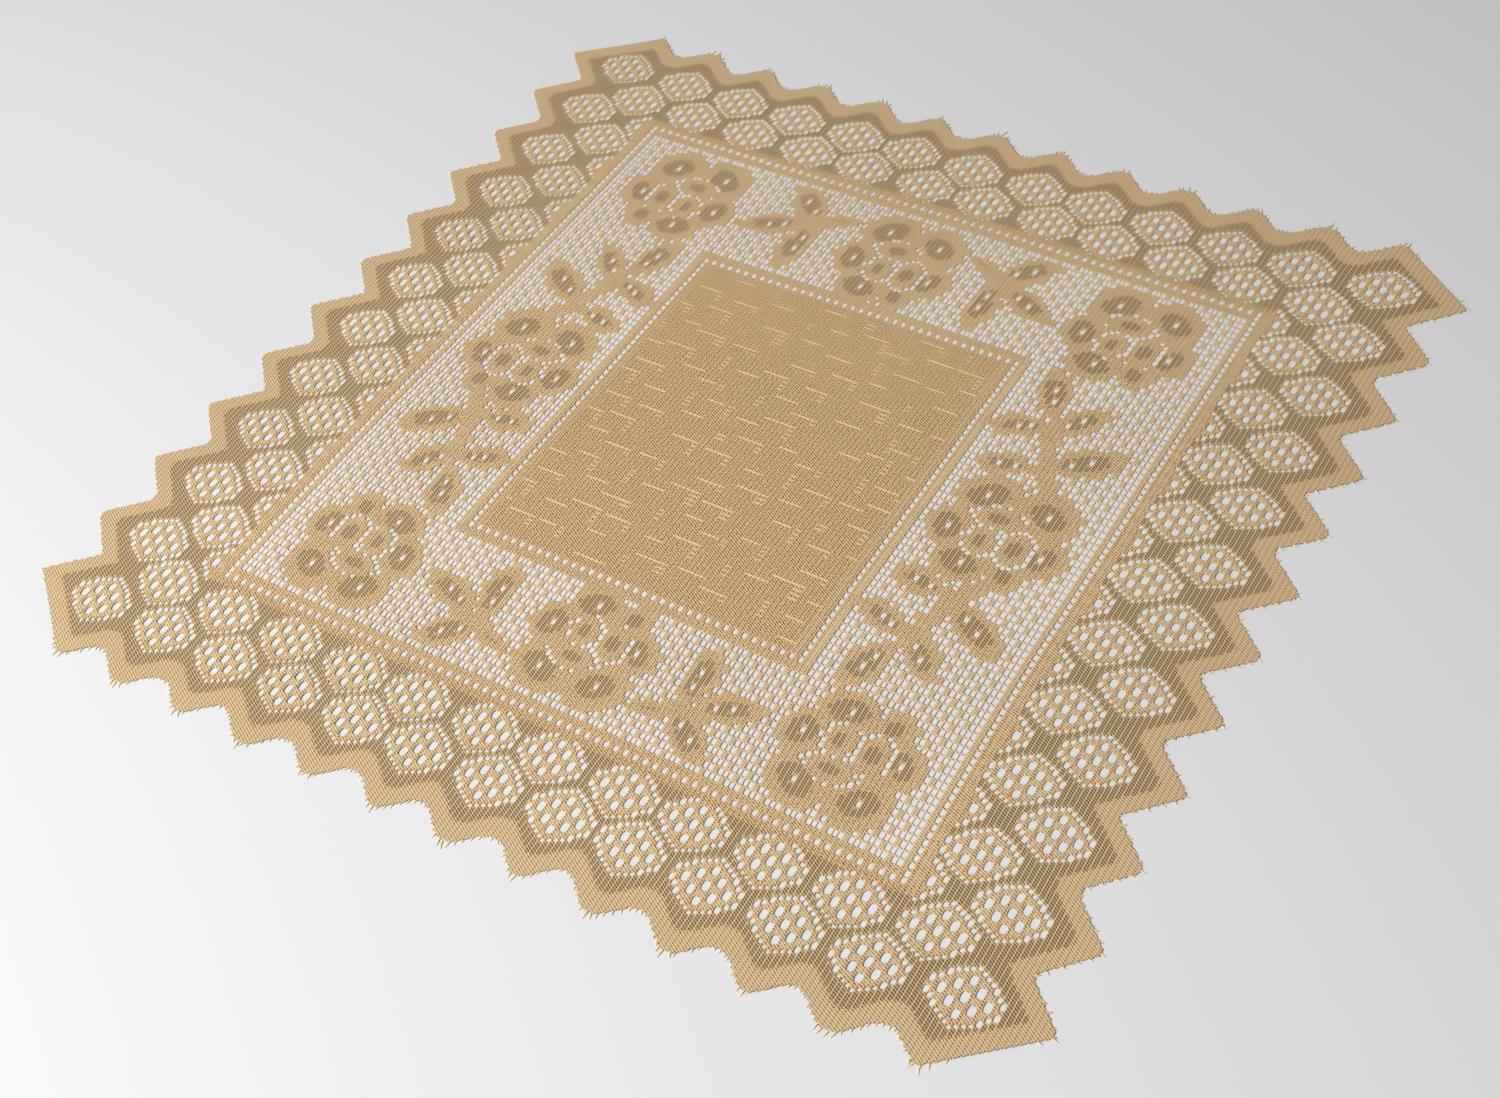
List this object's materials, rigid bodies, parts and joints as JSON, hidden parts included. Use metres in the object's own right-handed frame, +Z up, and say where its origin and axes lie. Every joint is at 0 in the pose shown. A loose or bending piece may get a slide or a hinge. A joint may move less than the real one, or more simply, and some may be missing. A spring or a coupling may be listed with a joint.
{
  "type": "lace table topper",
  "caption": "Square beige knitted lace table topper with zigzag edge, lozenge border, rose and leaf band in open net, and a plain ribbed middle.",
  "frame": {"origin": "middle of the cloth's underside, on the table that it lies on", "axes": "+Z up, out of the cloth's face; +Y along the knit's wales; +X along its courses"},
  "size_m": [0.9153, 0.9073, 0.0012],
  "materials": {
    "lace": "matte warp-knitted beige yarn, openwork"
  },
  "bodies": {
    "root": {"topper": "lace"}
  },
  "joints": []
}
